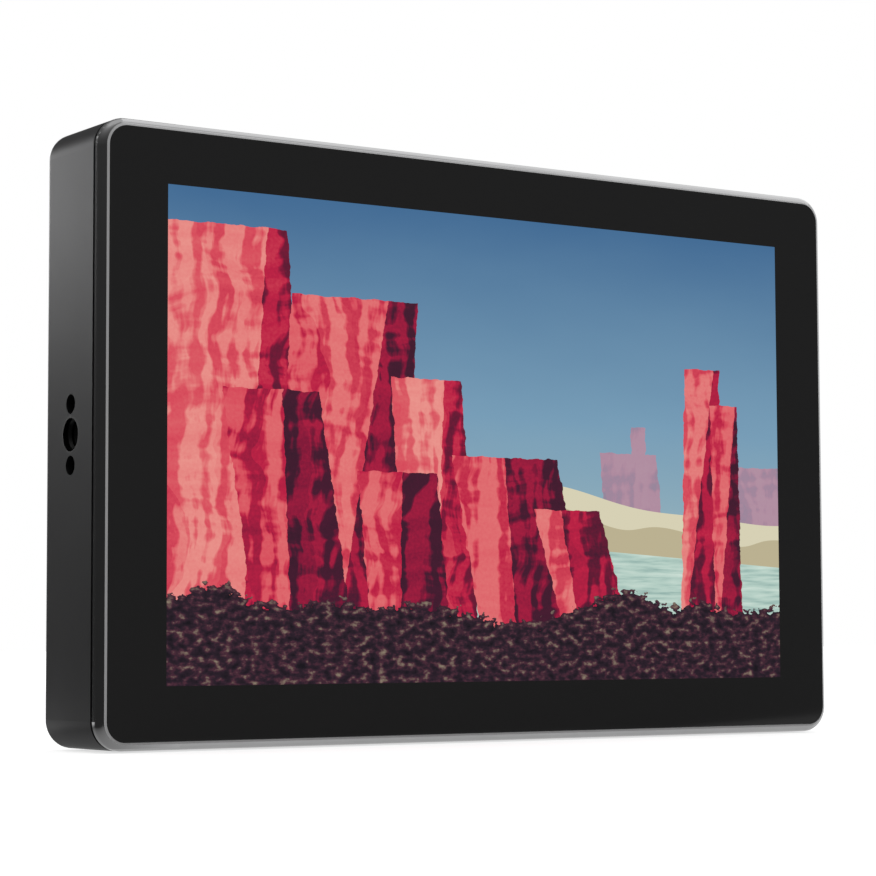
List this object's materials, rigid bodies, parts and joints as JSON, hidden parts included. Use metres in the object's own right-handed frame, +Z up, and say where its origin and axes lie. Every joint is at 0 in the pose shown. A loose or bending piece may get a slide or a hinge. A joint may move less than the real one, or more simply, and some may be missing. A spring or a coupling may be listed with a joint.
{
  "type": "camera field monitor",
  "caption": "Slim on-camera field monitor: edge-to-edge glass in a metal frame, tripod threads on three sides, battery plates and recessed connector bays at the back.",
  "frame": {"origin": "mouth of the bottom tripod thread, in the middle of the bottom face", "axes": "+X to the right seen from the front, +Y back from the glass, +Z up"},
  "size_m": [0.1786, 0.0322, 0.1186],
  "materials": {
    "cover_glass": "clear glass bonded over the display, edge to edge",
    "border_print": "black printed border",
    "display_film": "clear optical film",
    "white_film": "white diffusing film",
    "lcd_panel": "liquid crystal panel",
    "adhesive": "black foam tape",
    "gasket": "dark matte rubber",
    "frame": "dark satin anodised with a polished facet by the glass",
    "housing": "dark satin anodised, fine bead blast",
    "carrier": "plain sheet",
    "tray": "plain sheet",
    "insert": "dark threaded sleeve",
    "black_screw": "black oxide",
    "plain_screw": "zinc plated",
    "circuit_board": "green solder mask",
    "chip": "black moulding compound",
    "socket_plastic": "ivory plastic",
    "ribbon": "amber polyimide ribbon",
    "led_strip": "yellow phosphor chips on white",
    "thermal_pad": "soft gap pad",
    "fan_plastic": "black glass-filled plastic",
    "connector_metal": "nickel plate",
    "connector_plastic": "black plastic",
    "button": "soft-touch black",
    "plunger": "red acetal",
    "light_pipe": "clear acrylic",
    "battery_plate": "textured black plastic",
    "latch": "red release key",
    "contact": "gold plate",
    "lead": "red silicone wire"
  },
  "bodies": {
    "monitor": {"cover_glass": "cover_glass", "border_print": "border_print", "touch_sensor": "display_film", "optical_bond": "display_film", "light_guide": "display_film", "diffuser_stack": "white_film", "reflector_sheet": "white_film", "lcd_panel": "lcd_panel", "glass_tape": "adhesive", "seam_gasket": "gasket", "front_frame": "frame", "rear_housing": "housing", "display_carrier": "carrier", "heat_sink": "carrier", "backlight_tray": "tray", "shield_can": "tray", "left_thread_insert": "insert", "right_thread_insert": "insert", "bottom_thread_insert": "insert", "case_screws": "black_screw", "plate_screws": "black_screw", "carrier_screws": "plain_screw", "board_screws": "plain_screw", "heat_sink_screws": "plain_screw", "fan_screws": "plain_screw", "button_board_screws": "plain_screw", "latch_spring_left": "plain_screw", "latch_spring_right": "plain_screw", "main_board": "circuit_board", "button_board": "circuit_board", "board_chips": "chip", "switch_bodies": "chip", "flex_sockets": "socket_plastic", "display_flex": "ribbon", "touch_flex": "ribbon", "backlight_flex": "ribbon", "led_strip": "led_strip", "thermal_pad": "thermal_pad", "fan_frame": "fan_plastic", "sdi_in_jack": "connector_metal", "sdi_out_jack": "connector_metal", "jack_nuts": "connector_metal", "hdmi_in_socket": "connector_metal", "hdmi_out_socket": "connector_metal", "usb_port": "connector_metal", "card_slot": "connector_metal", "power_jack": "connector_plastic", "headphone_jack": "connector_plastic", "light_pipe": "light_pipe", "battery_plate_left": "battery_plate", "battery_plate_right": "battery_plate", "battery_contacts": "contact", "battery_leads": "lead"},
    "power_button": {"power_button": "button", "power_plunger": "plunger"},
    "menu_button": {"menu_button": "button", "menu_plunger": "plunger"},
    "latch_left": {"battery_latch_left": "latch"},
    "latch_right": {"battery_latch_right": "latch"},
    "fan_rotor": {"fan_rotor": "fan_plastic"}
  },
  "joints": [
    {"name": "power_press", "type": "slide", "parent": "monitor", "child": "power_button", "axis": [0, 0, -1], "range_m": [0, 0.0004], "stiffness_N_per_m": 2000, "springref_m": -0.0002},
    {"name": "menu_press", "type": "slide", "parent": "monitor", "child": "menu_button", "axis": [0, 0, -1], "range_m": [0, 0.0004], "stiffness_N_per_m": 2000, "springref_m": -0.0002},
    {"name": "latch_left_press", "type": "slide", "parent": "monitor", "child": "latch_left", "axis": [0, -1, 0], "range_m": [0, 0.0017], "stiffness_N_per_m": 800, "springref_m": -0.0015, "deforming": ["latch_spring_left"]},
    {"name": "latch_right_press", "type": "slide", "parent": "monitor", "child": "latch_right", "axis": [0, -1, 0], "range_m": [0, 0.0017], "stiffness_N_per_m": 800, "springref_m": -0.0015, "deforming": ["latch_spring_right"]},
    {"name": "fan_spin", "type": "hinge", "parent": "monitor", "child": "fan_rotor", "pos_m": [-0.064, 0.005, 0.086], "axis": [0, 1, 0], "continuous": true}
  ]
}
